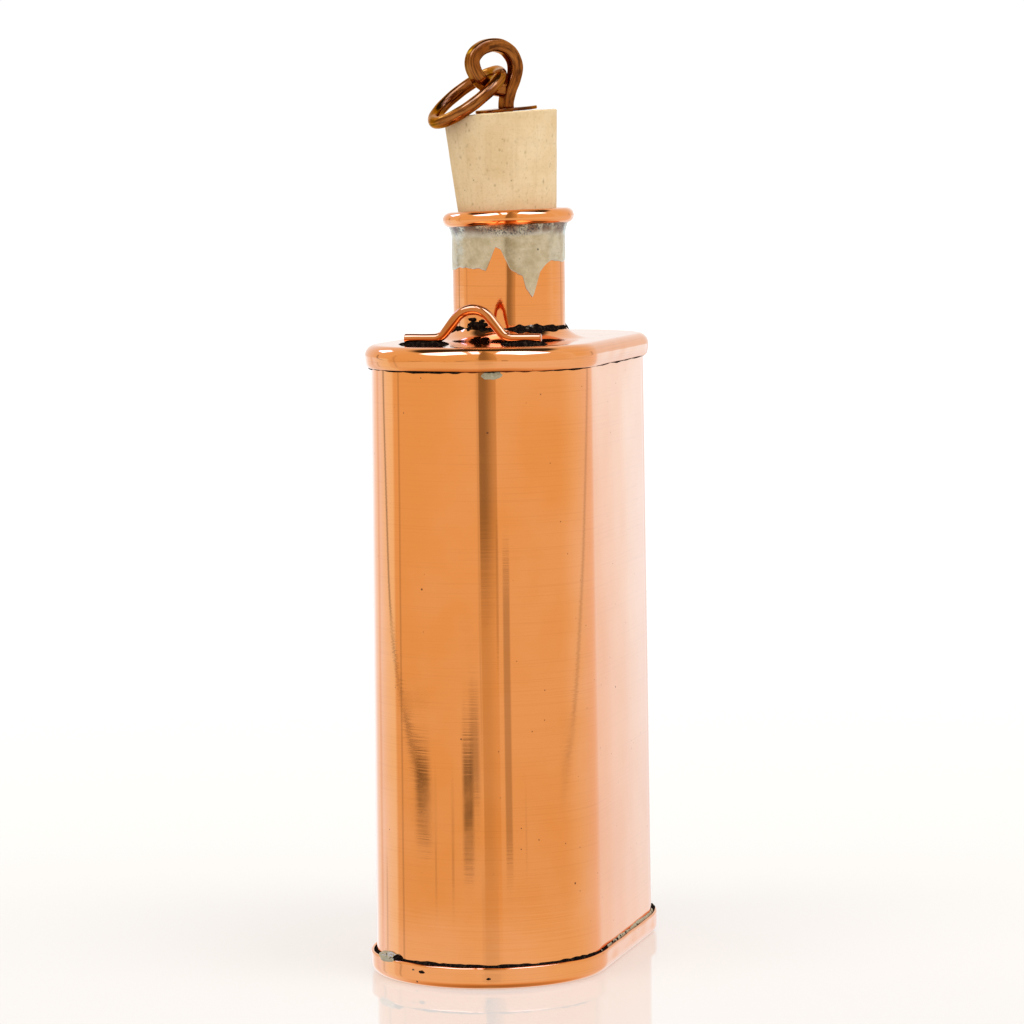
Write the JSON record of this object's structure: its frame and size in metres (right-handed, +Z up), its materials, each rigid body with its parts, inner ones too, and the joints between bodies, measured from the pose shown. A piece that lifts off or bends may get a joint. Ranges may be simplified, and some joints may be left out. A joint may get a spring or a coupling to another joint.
{
  "type": "copper spirit flask",
  "caption": "Oval sheet-copper flask with pan caps, soldered neck, wire lip, tether loop and a tapered cork stopper that carries an eye and a swinging pull ring.",
  "frame": {"origin": "centre of the flat underside of the base cap", "axes": "+Z up along the neck, X along the oval's long axis with the tether loop on the -X side, Y through the thickness"},
  "size_m": [0.1066, 0.0572, 0.2224],
  "materials": {
    "polished_copper": "bright polished copper sheet and wire",
    "aged_copper": "dark, unevenly oxidised copper rod and wire",
    "tin": "wiped tin, dull grey and uneven",
    "solder": "dark soft solder with flux residue",
    "cork": "natural cork, matt, with pores"
  },
  "bodies": {
    "flask": {"body_shell": "polished_copper", "base_cap": "polished_copper", "top_cap": "polished_copper", "base_seam_solder": "solder", "top_seam_solder": "solder", "neck_tube": "polished_copper", "lip_ring": "polished_copper", "neck_solder": "solder", "neck_tinning": "tin", "tether_loop": "polished_copper", "loop_solder_left": "solder", "loop_solder_right": "solder"},
    "stopper": {"cork_stopper": "cork", "stopper_washer": "aged_copper", "lower_washer": "aged_copper", "stopper_eye": "aged_copper"},
    "ring": {"stopper_ring": "aged_copper"}
  },
  "joints": [
    {"name": "stopper_pull", "type": "slide", "parent": "flask", "child": "stopper", "axis": [0, 0, 1], "range_m": [0, 0.05]},
    {"name": "ring_swing", "type": "hinge", "parent": "stopper", "child": "ring", "pos_m": [-0.00262, 0.00088, 0.21405], "axis": [0.9136, 0.3332, 0.233], "range_deg": [0, 135]}
  ]
}
